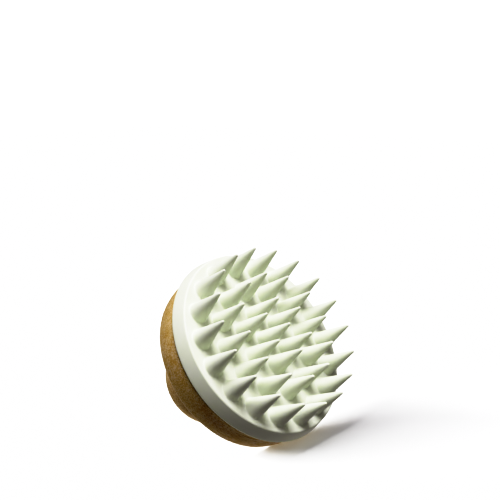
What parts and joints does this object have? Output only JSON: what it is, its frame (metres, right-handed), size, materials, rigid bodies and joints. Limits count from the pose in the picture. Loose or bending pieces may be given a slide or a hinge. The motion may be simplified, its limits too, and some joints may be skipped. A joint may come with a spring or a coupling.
{
  "type": "scalp massager brush",
  "caption": "Round silicone pad of tapered massage bristles on a turned wooden base with a waisted knob handle.",
  "frame": {"origin": "middle of the flat on the knob's crown, the lowest point when the brush stands bristles up", "axes": "+Z along the handle's axis, from the knob towards the bristle tips; +X through one spoke of bristles"},
  "size_m": [0.0824, 0.0824, 0.0697],
  "materials": {
    "pad_silicone": "satin",
    "handle_wood": "satin, fine turning lines and dark flecks",
    "core_plastic": "matte",
    "screw_steel": "bright zinc"
  },
  "bodies": {
    "root": {"bristle_pad": "pad_silicone", "core_disc": "core_plastic", "handle_base": "handle_wood", "handle_knob": "handle_wood", "knob_screw": "screw_steel", "core_screw_1": "screw_steel", "core_screw_2": "screw_steel", "core_screw_3": "screw_steel", "core_screw_4": "screw_steel"}
  },
  "joints": []
}
